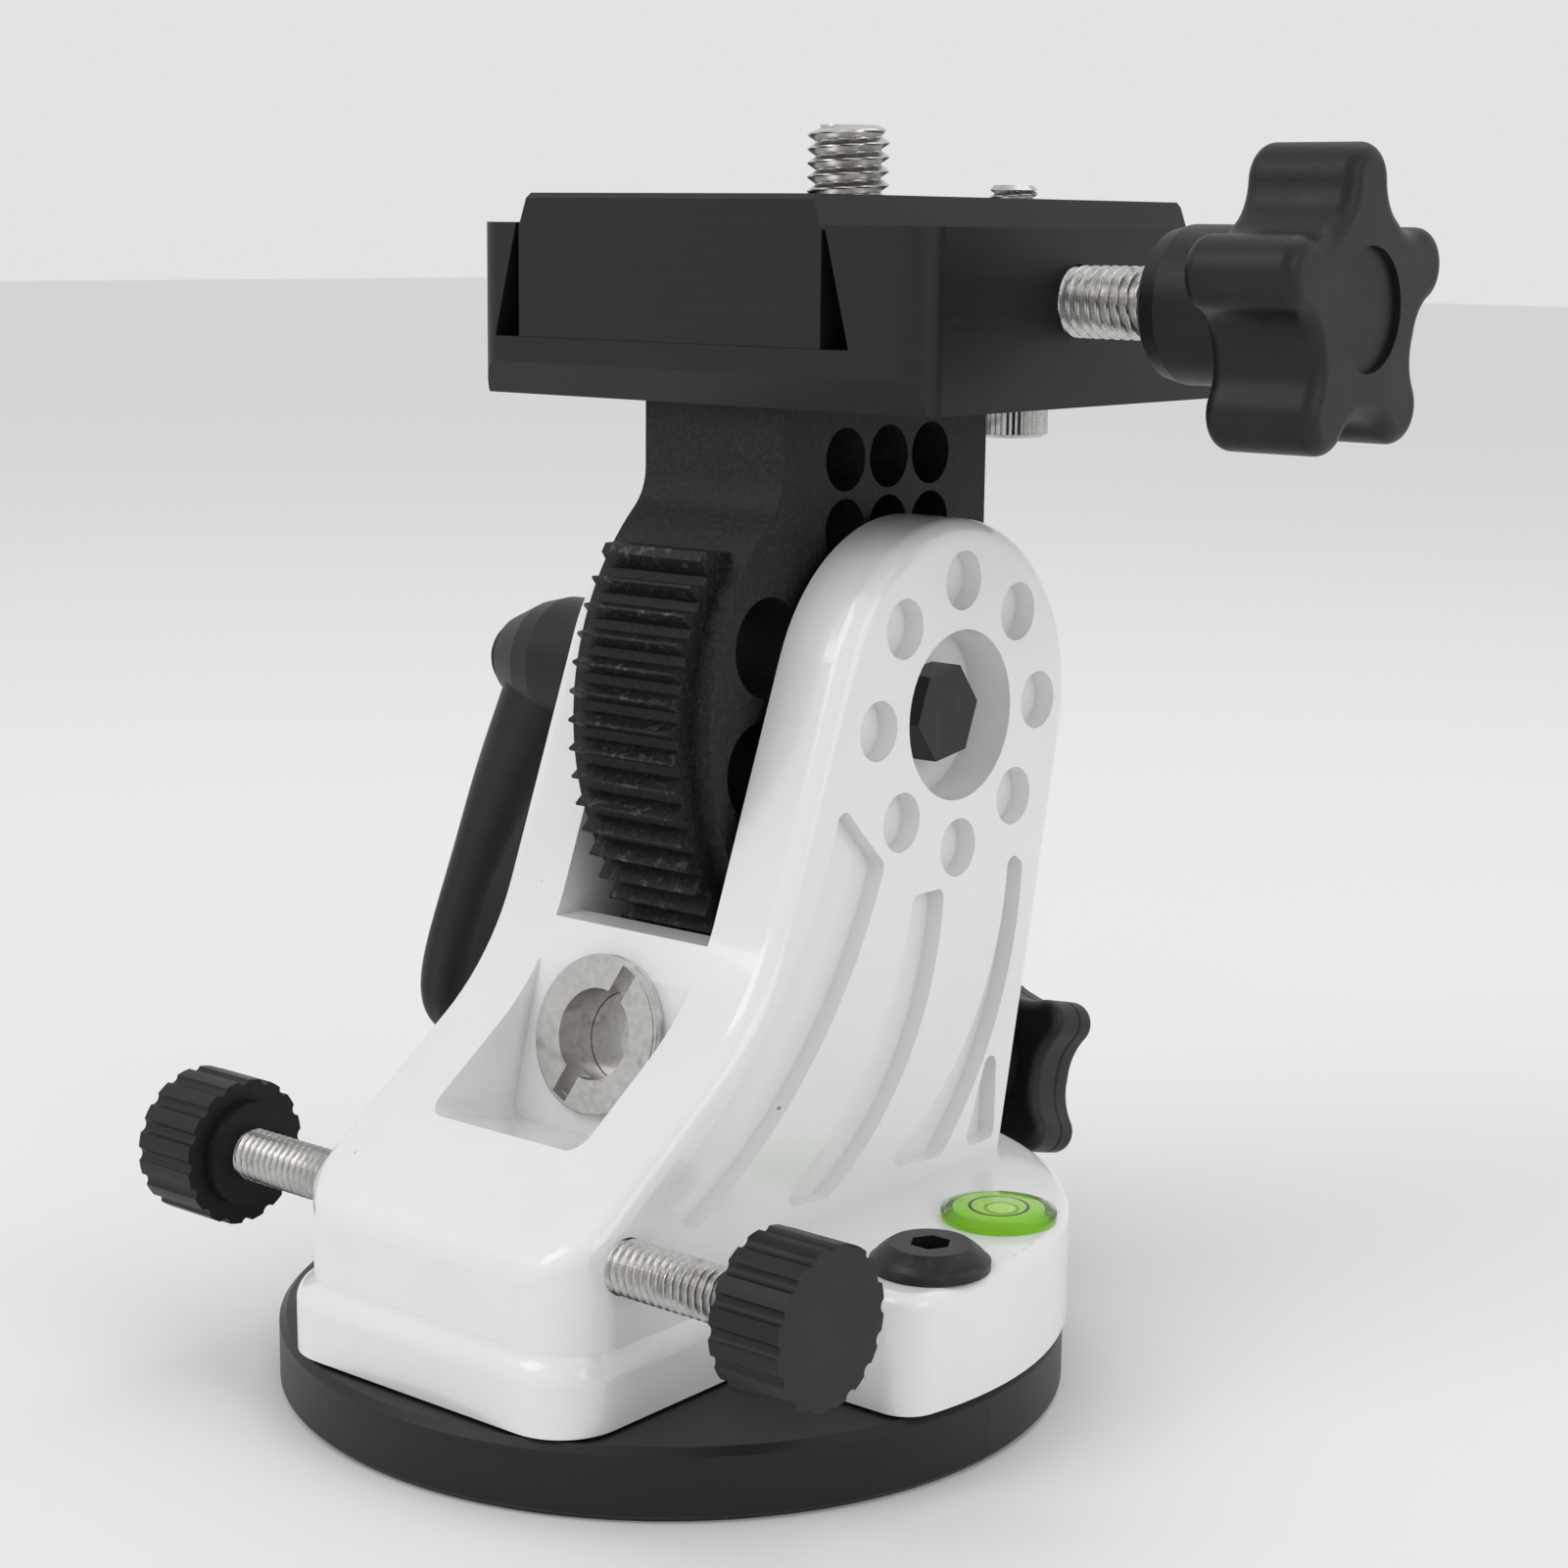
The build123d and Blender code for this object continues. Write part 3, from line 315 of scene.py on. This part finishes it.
oxideLook = {
    "dark": (0.006, 0.006, 0.0065, 1),
    "light": (0.022, 0.022, 0.022, 1),
    "thinSize": 1.2 * mm,
    "depth": 0.015 * mm,
    "roughness": 0.28,
}


# colour = black oxide, thinned to grey where fine noise is high
def makeOxide():
    look = oxideLook
    finish = Finish("blackOxide", {"IOR": 1.5, "Specular IOR Level": 0.4})
    thin = finish.noise(finish.place(), look["thinSize"], 4, 0.6)
    return finish.feed({
        "Base Color": finish.mix(thin.rise(0.5, 0.75), look["dark"], look["light"]),
        "Roughness": look["roughness"] + thin * 0.2,
        "Normal": finish.bump(thin, look["depth"]),
    })


levelLook = {
    "liquid": (0.33, 0.72, 0.03, 1),
    "pale": (0.62, 0.9, 0.2, 1),
    "mark": (0.01, 0.012, 0.01, 1),
    "ringIn": 3.0 * mm,
    "ringOut": 3.35 * mm,
    "bubbleAt": (0.7 * mm, -0.5 * mm),
    "bubble": 1.9 * mm,         # its radius
    "bubbleRim": (0.08, 0.22, 0.01, 1),
    "paleReach": 5 * mm,
}


# colour = green liquid, paler to the middle, with the printed ring between two radii and the
# bubble's dark rim and pale middle by its own distance; the liquid also glows faintly in that
# colour, which is painted light
def makeGlowingLiquid(centre):
    look = levelLook
    bubble = look["bubble"]
    # the emission makes the liquid glow faintly: painted light
    finish = Finish("glowingLevelLiquid", {"Coat Weight": 0.8, "Coat Roughness": 0.03, "Emission Strength": 0.12})
    x, y = finish.axes(finish.place(centre=centre))[:2]
    reach = (x * x + y * y) ** 0.5
    pastIn = reach.rise(look["ringIn"], look["ringIn"] * 1.03)
    pastOut = reach.rise(look["ringOut"], look["ringOut"] * 1.03)
    bubbleX, bubbleY = x - look["bubbleAt"][0], y - look["bubbleAt"][1]
    fromBubble = (bubbleX * bubbleX + bubbleY * bubbleY) ** 0.5
    rim = fromBubble.rise(bubble * 0.8, bubble * 0.9) - fromBubble.rise(bubble, bubble * 1.08)
    inside = 1 - fromBubble.rise(bubble * 0.75, bubble * 0.85)
    tone = finish.mix(1 - reach.rise(0, look["paleReach"]), look["liquid"], look["pale"])
    tone = finish.mix(inside * 0.6, tone, look["pale"])
    tone = finish.mix(rim * 0.7, tone, look["bubbleRim"])
    tone = finish.mix(pastIn - pastOut, tone, look["mark"])
    return finish.feed({
        "Base Color": tone,
        "Emission Color": tone,
        "Roughness": 0.12 + finish.noise(finish.place(), 2 * mm) * 0.05,
    })


# clear plastic: a faint tint, and a surface smooth but for slow noise
def makeClear():
    finish = Finish("levelClear", {
        "Base Color": (0.93, 1.0, 0.82, 1), "Transmission Weight": 1.0, "IOR": 1.3,
    })
    return finish.feed({"Roughness": 0.02 + finish.noise(finish.place(), 3 * mm) * 0.04})


# pale floor: near-white with the faintest mottle
def makeFloor():
    finish = Finish("floorPaper", {"Specular IOR Level": 0.1})
    mottle = finish.noise(finish.place(), 0.4, 2)
    return finish.feed({
        "Base Color": finish.mix(mottle * 0.2, (0.86, 0.86, 0.86, 1), (0.82, 0.82, 0.82, 1)),
        "Roughness": 0.85 + mottle * 0.05,
    })


whitePaint = makeWhitePaint()
anodised = makeAnodised()
castBlack = makeCastBlack()
plastic = makePlastic()
steel = makeSteel("turnedSteel", 0.2, 0.04, 0.004 * mm)
bushSteel = makeSteel("scuffedSteel", 0.24, 0.06, 0.012 * mm)
oxide = makeOxide()
levelLow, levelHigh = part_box("level_fluid")
liquid = makeGlowingLiquid((levelLow + levelHigh) / 2)
clear = makeClear()

finishes = {
    "base_disc": anodised, "saddle": anodised, "dovetail_plate": anodised,
    "altitude_arm": castBlack, "worm_rear_bush": castBlack,
    "fork": whitePaint, "level_fluid": liquid, "level_case": clear,
    "altitude_knob": plastic, "lever_handle": plastic, "lever_cap": plastic, "star_knob": plastic,
    "star_cap": plastic, "thumb_knob_right": plastic, "thumb_knob_left": plastic, "clamp_pad": plastic,
    "lock_screw_right": oxide, "lock_screw_left": oxide, "altitude_bolt": oxide, "saddle_screws": oxide,
    "worm_front_bush": bushSteel, "lever_washer": steel, "thrust_washers": steel,
}
for name, node in nodes.items():
    for materialSlot in node.material_slots:
        materialSlot.material = finishes.get(name, steel)
print("finishes on", len(nodes), "nodes")


# one finished piece from its points and faces, riding on a body
def makePiece(name, points, faces, material, body):
    mesh = bpy.data.meshes.new(name)
    mesh.from_pydata(points.tolist(), [], faces)
    mesh.materials.append(material)
    piece = bpy.data.objects.new(name, mesh)
    bpy.context.scene.collection.objects.link(piece)
    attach(piece, body)
    return piece


# quads from each ring of points to the next one, as rows of four point numbers
def joinRings(rows, nextRows, columns):
    here = np.arange(columns)
    after = (here + 1) % columns
    step, beyond = rows[:, None] * columns, nextRows[:, None] * columns
    return np.stack([step + here, step + after, beyond + after, beyond + here], -1).reshape(-1, 4)


# rings of points joined into a closed shell: quads between rings, a fan over each end
def makeShell(name, rings, material, body):
    rows, columns = rings.shape[:2]
    points = np.concatenate([rings.reshape(-1, 3), rings[:1].mean(1), rings[-1:].mean(1)])
    quads = joinRings(np.arange(rows - 1), np.arange(1, rows), columns)
    here = np.arange(columns)
    after = (here + 1) % columns
    first, last, top = rows * columns, rows * columns + 1, (rows - 1) * columns
    ends = np.concatenate([
        np.stack([np.full(columns, first), after, here], -1),
        np.stack([np.full(columns, last), top + here, top + after], -1),
    ])
    return makePiece(name, points, quads.tolist() + ends.tolist(), material, body)


# point = start + along * axis + radius * (cos(turn) * across + sin(turn) * aside)
def roundAbout(start, axis, along, radius, across=None):
    axis = Vector(axis).normalized()
    across = across or axis.orthogonal().normalized()
    aside = axis.cross(across)
    turn = np.linspace(0, tau, radius.shape[1], endpoint=False)
    ways = np.cos(turn)[:, None] * np.array(across) + np.sin(turn)[:, None] * np.array(aside)
    middle = np.array(start) + along[:, None] * np.array(axis)
    return middle[:, None, :] + radius[:, :, None] * ways[None, :, :]


# radius = crest - depth * valley, the valley a flat-bottomed V in along / pitch - turn / tau
def threadRadius(along, columns, crest, depth, pitch):
    turn = np.arange(columns) / columns
    phase = np.mod(along[:, None] / pitch - turn[None, :], 1.0)
    valley = np.clip(1.125 - 2.5 * np.abs(phase - 0.5), 0, 1)
    return crest - depth * valley


threadLook = {"columns": 44, "rowsPerPitch": 10, "depthShare": 0.6, "endCone": 0.7 * mm}


# a threaded rod: the thread's radius, held under a cone at each end
def makeRod(name, node, axis, pitch, body):
    low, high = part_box(node)
    axis = Vector(axis)
    middle, span = (low + high) / 2, high - low
    length = abs(span.dot(axis))
    crest = min(span) / 2
    along = np.linspace(0, length, int(length / pitch * threadLook["rowsPerPitch"]))
    radius = threadRadius(along, threadLook["columns"], crest, pitch * threadLook["depthShare"], pitch)
    limit = crest - threadLook["endCone"] + np.minimum(along, length - along)
    radius = np.minimum(radius, limit[:, None])
    rings = roundAbout(middle - axis * length / 2, axis, along, radius)
    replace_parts(makeShell(name, rings, steel, body), node)


screwPitch = {"thumb": 1.0 * mm, "clamp": 1.25 * mm}
makeRod("thumbStudRight", "thumb_stud_right", (-1, 0, 0), screwPitch["thumb"], "stud_right")
makeRod("thumbStudLeft", "thumb_stud_left", (1, 0, 0), screwPitch["thumb"], "stud_left")
makeRod("clampThread", "clamp_screw", (-1, 0, 0), screwPitch["clamp"], "clamp")
print("thumb and clamp screws threaded")


# a profile's rows are (height, radius, thread pitch or 0, knurl depth), straight from one to the
# next; the radius loses the thread's valley, or depth * |2 * (turn * knurls mod 1) - 1|
def makeTurnedScrew(name, node, profile, columns, knurls=0):
    low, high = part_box(node)
    start = Vector(((low.x + high.x) / 2, (low.y + high.y) / 2, low.z))
    turn = np.arange(columns) / columns
    heights, radii = [], []
    for (height, radius, pitch, knurl), (nextHeight, nextRadius, *_) in zip(profile, profile[1:]):
        rows = 6 if knurl else 2
        if pitch:
            rows = max(2, int((nextHeight - height) / pitch * threadLook["rowsPerPitch"]))
        along = np.linspace(height, nextHeight, rows)
        reach = np.linspace(radius, nextRadius, rows)[:, None] * np.ones(columns)
        if pitch:
            reach = reach + threadRadius(along, columns, 0, pitch * threadLook["depthShare"], pitch)
        if knurl:
            reach = reach - knurl * np.abs(2 * np.mod(turn * knurls, 1) - 1)[None, :]
        heights.append(along)
        radii.append(reach)
    rings = roundAbout(start, (0, 0, 1), np.concatenate(heights), np.concatenate(radii))
    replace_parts(makeShell(name, rings, steel, "dovetail"), node)


# how tall a CAD node stands
def heightOf(node):
    low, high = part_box(node)
    return high.z - low.z


cameraStud = {
    "head": 7.5 * mm,
    "headTall": 6.05 * mm,
    "neck": 0.5 * mm,           # plain, between the head and the thread
    "radius": 4.7625 * mm,
    "pitch": 25.4 / 16 * mm,
    "endCone": 0.9 * mm,
    "columns": 64,
}


# a plain round head under a threaded stud with a coned end
def makeMountingStud():
    look = cameraStud
    head, headTall, radius, cone = look["head"], look["headTall"], look["radius"], look["endCone"]
    tall = heightOf("mounting_stud")
    makeTurnedScrew("mountingStud", "mounting_stud", [
        (0, head, 0, 0),
        (headTall, head, 0, 0),
        (headTall, radius, 0, 0),
        (headTall + look["neck"], radius, look["pitch"], 0),
        (tall - cone, radius, look["pitch"], 0),
        (tall, radius - cone, 0, 0),
    ], look["columns"])


makeMountingStud()

stopScrew = {
    "head": 5.0 * mm,
    "headTall": 6.0 * mm,
    "headEdge": 0.4 * mm,
    "headFoot": 0.5 * mm,       # how far the head is drawn in at its foot
    "neck": 0.1 * mm,           # plain, between the head and the thread
    "radius": 3.0 * mm,
    "pitch": 1.0 * mm,
    "endCone": 0.6 * mm,
    "knurl": 0.22 * mm,
    "knurls": 42,
    "columns": 168,
}


# a knurled head with eased edges, then a thread with a coned end
def makeStopScrew():
    look = stopScrew
    head, headTall, edge = look["head"], look["headTall"], look["headEdge"]
    radius, cone = look["radius"], look["endCone"]
    tall = heightOf("rear_screw")
    makeTurnedScrew("rearStopScrew", "rear_screw", [
        (0, head - look["headFoot"], 0, 0),
        (edge, head, 0, look["knurl"]),
        (headTall - edge, head, 0, look["knurl"]),
        (headTall, head - edge, 0, 0),
        (headTall, radius, 0, 0),
        (headTall + look["neck"], radius, look["pitch"], 0),
        (tall - cone, radius, 0, 0),
        (tall, radius - cone, 0, 0),
    ], look["columns"], look["knurls"])


makeStopScrew()
print("mounting stud and stop screw turned")

wormJoint = joints["worm_spin"]
wormAxis = Vector(wormJoint["axis"]).normalized()
wormLook = {
    "lead": pi * mm,
    "crest": 8.8 * mm,
    "core": 6.6 * mm,           # the plain radius between threads
    "skin": 0.02 * mm,          # the whole thread stands this much further out
    "halfLength": 13.6 * mm,
    "crestShare": 0.16,         # of the lead, flat at the crest
    "footShare": 0.62,          # of the lead, at the core
    "phase": 1.039 * mm,        # sets a thread between two teeth on the side nearest the tilting axis
    "rows": 190,
    "columns": 72,
}


# radius = core + skin + (crest - core) * ridge, the ridge a trapezium in along / lead - turn / tau,
# held under a cone at each end
def makeWormThread():
    look = wormLook
    along = np.linspace(-look["halfLength"], look["halfLength"], look["rows"])
    turn = np.arange(look["columns"]) / look["columns"]
    phase = np.mod((along[:, None] - look["phase"]) / look["lead"] - turn[None, :] + 0.5, 1.0) - 0.5
    flank = (look["footShare"] - look["crestShare"]) / 2
    ridge = np.clip((look["footShare"] / 2 - np.abs(phase)) / flank, 0, 1)
    foot = look["core"] + look["skin"]
    limit = foot + np.minimum(along - along[0], along[-1] - along)
    radius = np.minimum(foot + (look["crest"] - look["core"]) * ridge, limit[:, None])
    rings = roundAbout(wormJoint["pos_m"], wormAxis, along, radius, Vector((1, 0, 0)))
    makeShell("wormThread", rings, steel, "worm")


makeWormThread()

bushLook = {
    "outer": 8.5 * mm,
    "crest": 8.95 * mm,
    "bore": 8.45 * mm,
    "from": 0.1 * mm,
    "tall": 1.5 * mm,
    "pitch": 0.8 * mm,
    "depth": 0.42 * mm,
    "rows": 24,
    "columns": 96,
}


# a short threaded collar round the slotted bush: thread outside, plain inside, both ends closed by
# running the rings round the wall's section
def makeBushThread():
    look = bushLook
    centre = Vector(wormJoint["pos_m"])
    toFront = centre.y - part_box("worm_front_bush")[0].y - look["outer"] * abs(wormAxis.z)
    front = centre - wormAxis * (toFront / wormAxis.y)
    along = np.linspace(look["from"], look["tall"], look["rows"])
    outside = threadRadius(along, look["columns"], look["crest"], look["depth"], look["pitch"])
    inside = np.full((look["rows"], look["columns"]), look["bore"])
    section = np.concatenate([along, along[::-1]])
    rings = roundAbout(front, wormAxis, section, np.concatenate([outside, inside]))
    rows = np.arange(len(section))
    quads = joinRings(rows, (rows + 1) % len(section), look["columns"])
    makePiece("bushThread", rings.reshape(-1, 3), quads.tolist(), bushSteel, "fork")


makeBushThread()
print("worm and bush threaded")

domeLook = {
    "rings": 18,
    "columns": 64,
    "rise": 0.75 * mm,
    "flangeFrom": 0.62,         # of the height
    "inset": 0.93,              # the body's radius against the flange's
    "poleTurn": 0.04,           # where the last ring stands, in radians from the top
}


# turned profile: foot, flange, then a dome, height = flange + rise * cos of the way out
def makeLevelDome():
    look = domeLook
    low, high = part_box("level_case")
    reach, tall = (high.x - low.x) / 2, high.z - low.z
    centre = Vector(((low.x + high.x) / 2, (low.y + high.y) / 2, low.z))
    flangeTop, inset, flange = tall - look["rise"], reach * look["inset"], tall * look["flangeFrom"]
    swing = np.linspace(pi / 2, look["poleTurn"], look["rings"])
    heights = np.concatenate([[0, flange, flange, flangeTop], flangeTop + look["rise"] * np.cos(swing)])
    radii = np.concatenate([[inset, inset, reach, reach], inset * np.sin(swing)])
    rings = roundAbout(centre, (0, 0, 1), heights, radii[:, None] * np.ones(look["columns"]))
    dome = makeShell("levelDome", rings, clear, "fork")
    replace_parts(dome, "level_case")
    dome.data.shade_smooth()


makeLevelDome()
print("level dome set")

floorReach = 5.0


# one square at the disc's underside
def makeFloorSheet():
    mesh = bpy.data.meshes.new("floor")
    corners = [(-1, -1), (1, -1), (1, 1), (-1, 1)]
    mesh.from_pydata([(x * floorReach, y * floorReach, 0) for x, y in corners], [], [(0, 1, 2, 3)])
    mesh.materials.append(makeFloor())
    floor = bpy.data.objects.new("floor", mesh)
    bpy.context.scene.collection.objects.link(floor)


makeFloorSheet()

world = bpy.data.worlds.new("studio")
world.use_nodes = True
studio = world.node_tree.nodes["Background"]
studio.inputs["Color"].default_value = (0.95, 0.96, 0.97, 1)
studio.inputs["Strength"].default_value = 0.8
bpy.context.scene.world = world

# each lamp: place, size and power; all face the object's middle
lamps = {
    "keyLamp": ((-0.35, -0.65, 0.75), 0.55, 1.9),
    "sideLamp": ((0.75, -0.05, 0.4), 0.45, 0.75),
    "topLamp": ((0.05, 0.35, 0.8), 0.6, 0.9),
}
aim = (cadBounds[0] + cadBounds[1]) / 2
for name, (spot, size, power) in lamps.items():
    light = bpy.data.lights.new(name, "AREA")
    light.size = size
    light.energy = power
    lamp = bpy.data.objects.new(name, light)
    lamp.location = spot
    lamp.rotation_euler = (aim - Vector(spot)).to_track_quat("-Z", "Y").to_euler()
    bpy.context.scene.collection.objects.link(lamp)

cameraLook = {
    "azimuth": radians(38.948),
    "elevation": radians(10.627),
    "roll": radians(0.662),
    "distance": 332.896 * mm,
    "across": 12.192 * mm,
    "height": 68.19 * mm,
    "lensAngle": radians(29.59),
    "nearest": 0.01,
}


# the camera looks along -back at a point on the object, turned about that line by its roll
def placeCamera():
    look = cameraLook
    azimuth, elevation, roll = look["azimuth"], look["elevation"], look["roll"]
    back = Vector((sin(azimuth) * cos(elevation), -cos(azimuth) * cos(elevation), sin(elevation)))
    right = Vector((cos(azimuth), sin(azimuth), 0))
    up = back.cross(right)
    spot = right * look["across"] + Vector((0, 0, look["height"])) + back * look["distance"]
    rolledRight, rolledUp = cos(roll) * right + sin(roll) * up, cos(roll) * up - sin(roll) * right
    turned = Matrix((rolledRight, rolledUp, back)).transposed()
    lens = bpy.data.cameras.new("camera")
    lens.angle = look["lensAngle"]
    lens.clip_start = look["nearest"]
    camera = bpy.data.objects.new("camera", lens)
    bpy.context.scene.collection.objects.link(camera)
    camera.matrix_world = Matrix.Translation(spot) @ turned.to_4x4()
    bpy.context.scene.camera = camera


placeCamera()
bpy.context.scene.view_settings.view_transform = "Standard"
print("stage, lamps and camera set")
